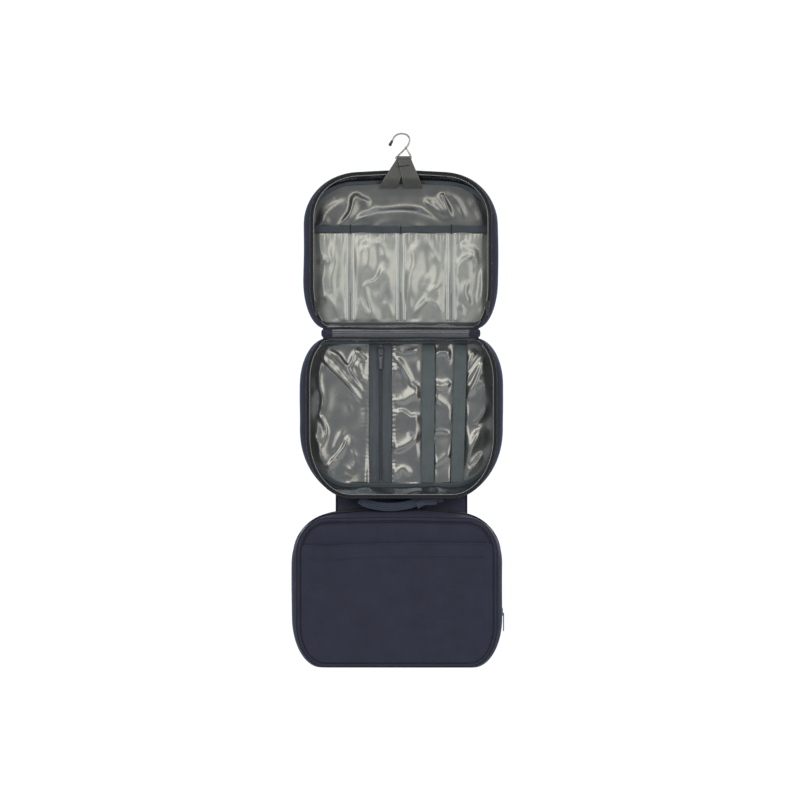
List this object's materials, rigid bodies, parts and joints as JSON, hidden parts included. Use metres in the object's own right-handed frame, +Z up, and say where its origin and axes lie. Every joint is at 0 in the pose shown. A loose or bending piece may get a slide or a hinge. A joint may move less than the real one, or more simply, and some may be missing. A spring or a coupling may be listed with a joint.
{
  "type": "hanging wash bag",
  "caption": "Hanging fold-out wash bag: wire hook on a strap, two zip-round lined trays, and a closed lower compartment on a flap.",
  "frame": {"origin": "hanging point: the inside of the top of the hook's bend", "axes": "-Y is the front that opens, +X to the right seen from the front, +Z up"},
  "size_m": [0.2527, 0.0418, 0.6289],
  "materials": {
    "navy_fabric": "matt plain-woven navy polyester",
    "lining_film": "glossy creased translucent film over grey cloth",
    "slate_trim": "ribbed slate grosgrain and elastic",
    "black_tape": "woven zip tape",
    "zip_hardware": "satin moulded zip coil, sliders and pulls",
    "grey_webbing": "warm grey herringbone webbing",
    "steel_wire": "bright drawn wire",
    "black_cap": "satin moulded tip"
  },
  "bodies": {
    "upper_tray": {"upper_back_panel": "navy_fabric", "upper_gusset": "navy_fabric", "upper_lining": "lining_film", "upper_seam_binding": "slate_trim", "upper_zip_chain": "black_tape", "upper_pocket_film": "lining_film", "upper_pocket_binding": "slate_trim", "main_zip_slider_left": "zip_hardware", "main_zip_slider_right": "zip_hardware"},
    "main_pull_left": {"main_zip_pull_left": "zip_hardware"},
    "main_pull_right": {"main_zip_pull_right": "zip_hardware"},
    "strap": {"hanging_strap": "grey_webbing"},
    "hook": {"wire_hook": "steel_wire", "hook_tip_cap": "black_cap"},
    "hinge_web": {"hinge_strip": "lining_film", "hinge_end_tab_left": "navy_fabric", "hinge_end_tab_right": "navy_fabric"},
    "middle_tray": {"middle_back_panel": "navy_fabric", "middle_gusset": "navy_fabric", "middle_lining": "lining_film", "middle_seam_binding": "slate_trim", "middle_zip_chain": "black_tape", "middle_film_left": "lining_film", "middle_film_right": "lining_film", "pocket_zip_tape_left": "slate_trim", "pocket_zip_tape_right": "slate_trim", "pocket_zip_coil": "zip_hardware", "elastic_band_left": "slate_trim", "elastic_band_right": "slate_trim", "handle_anchor_left": "navy_fabric", "handle_anchor_right": "navy_fabric", "flap_hem_upper": "navy_fabric"},
    "pocket_slider": {"pocket_zip_slider": "zip_hardware"},
    "pocket_pull": {"pocket_zip_pull": "zip_hardware"},
    "handle": {"carry_handle": "navy_fabric"},
    "flap": {"connecting_flap": "navy_fabric", "flap_edge_binding_left": "black_tape", "flap_edge_binding_right": "black_tape"},
    "lower_case": {"lower_back_panel": "navy_fabric", "lower_rear_gusset": "navy_fabric", "lower_back_lining": "lining_film", "lower_rear_zip_chain": "black_tape", "lower_zip_slider": "zip_hardware", "flap_hem_lower": "navy_fabric"},
    "lower_pull": {"lower_zip_pull": "zip_hardware"},
    "lower_lid": {"lower_front_gusset": "navy_fabric", "lower_front_panel": "navy_fabric", "lower_front_lining": "lining_film", "lower_front_zip_chain": "black_tape", "lower_front_piping": "navy_fabric", "lower_slip_pocket": "navy_fabric"}
  },
  "joints": [
    {"name": "upper_fold", "type": "hinge", "parent": "upper_tray", "child": "hinge_web", "pos_m": [0, 0.004, -0.2294], "axis": [-1, 0, 0], "range_deg": [0, 90]},
    {"name": "upper_fold_b", "type": "hinge", "parent": "hinge_web", "child": "middle_tray", "pos_m": [0, 0.004, -0.2389], "axis": [-1, 0, 0], "range_deg": [0, 90]},
    {"name": "strap_fold", "type": "hinge", "parent": "upper_tray", "child": "strap", "pos_m": [0, 0.0188, -0.0638], "axis": [1, 0, 0], "range_deg": [0, 126]},
    {"name": "hook_swing", "type": "hinge", "parent": "strap", "child": "hook", "pos_m": [0, 0, -0.0278], "axis": [1, 0, 0], "range_deg": [-80, 90]},
    {"name": "main_pull_left_flip", "type": "hinge", "parent": "upper_tray", "child": "main_pull_left", "pos_m": [-0.1006, -0.0031, -0.2032], "axis": [-1, 0, 0], "range_deg": [0, 150]},
    {"name": "main_pull_right_flip", "type": "hinge", "parent": "upper_tray", "child": "main_pull_right", "pos_m": [0.1006, -0.0031, -0.2032], "axis": [-1, 0, 0], "range_deg": [0, 150]},
    {"name": "pocket_zip_slide", "type": "slide", "parent": "middle_tray", "child": "pocket_slider", "axis": [0, 0, -1], "range_m": [0, 0.13]},
    {"name": "pocket_pull_flip", "type": "hinge", "parent": "pocket_slider", "child": "pocket_pull", "pos_m": [-0.0255, 0.0211, -0.2582], "axis": [-1, 0, 0], "range_deg": [0, 140]},
    {"name": "handle_swing", "type": "hinge", "parent": "middle_tray", "child": "handle", "pos_m": [0, 0.0115, -0.43], "axis": [-1, 0, 0], "range_deg": [0, 70]},
    {"name": "flap_fold", "type": "hinge", "parent": "middle_tray", "child": "flap", "pos_m": [0, 0.0323, -0.42], "axis": [1, 0, 0], "range_deg": [0, 90]},
    {"name": "flap_fold_b", "type": "hinge", "parent": "flap", "child": "lower_case", "pos_m": [0, 0.0323, -0.438], "axis": [1, 0, 0], "range_deg": [0, 90]},
    {"name": "lower_lid_open", "type": "hinge", "parent": "lower_case", "child": "lower_lid", "pos_m": [0, 0.0205, -0.627], "axis": [1, 0, 0], "range_deg": [0, 100]},
    {"name": "lower_pull_flip", "type": "hinge", "parent": "lower_case", "child": "lower_pull", "pos_m": [0.1271, 0.0208, -0.5666], "axis": [0, -1, 0], "range_deg": [0, 150]}
  ],
  "couplings": [
    {"joint": "upper_fold_b", "follows": "upper_fold", "ratio": 1},
    {"joint": "strap_fold", "follows": "upper_fold", "ratio": 1.4},
    {"joint": "flap_fold_b", "follows": "flap_fold", "ratio": 1}
  ]
}
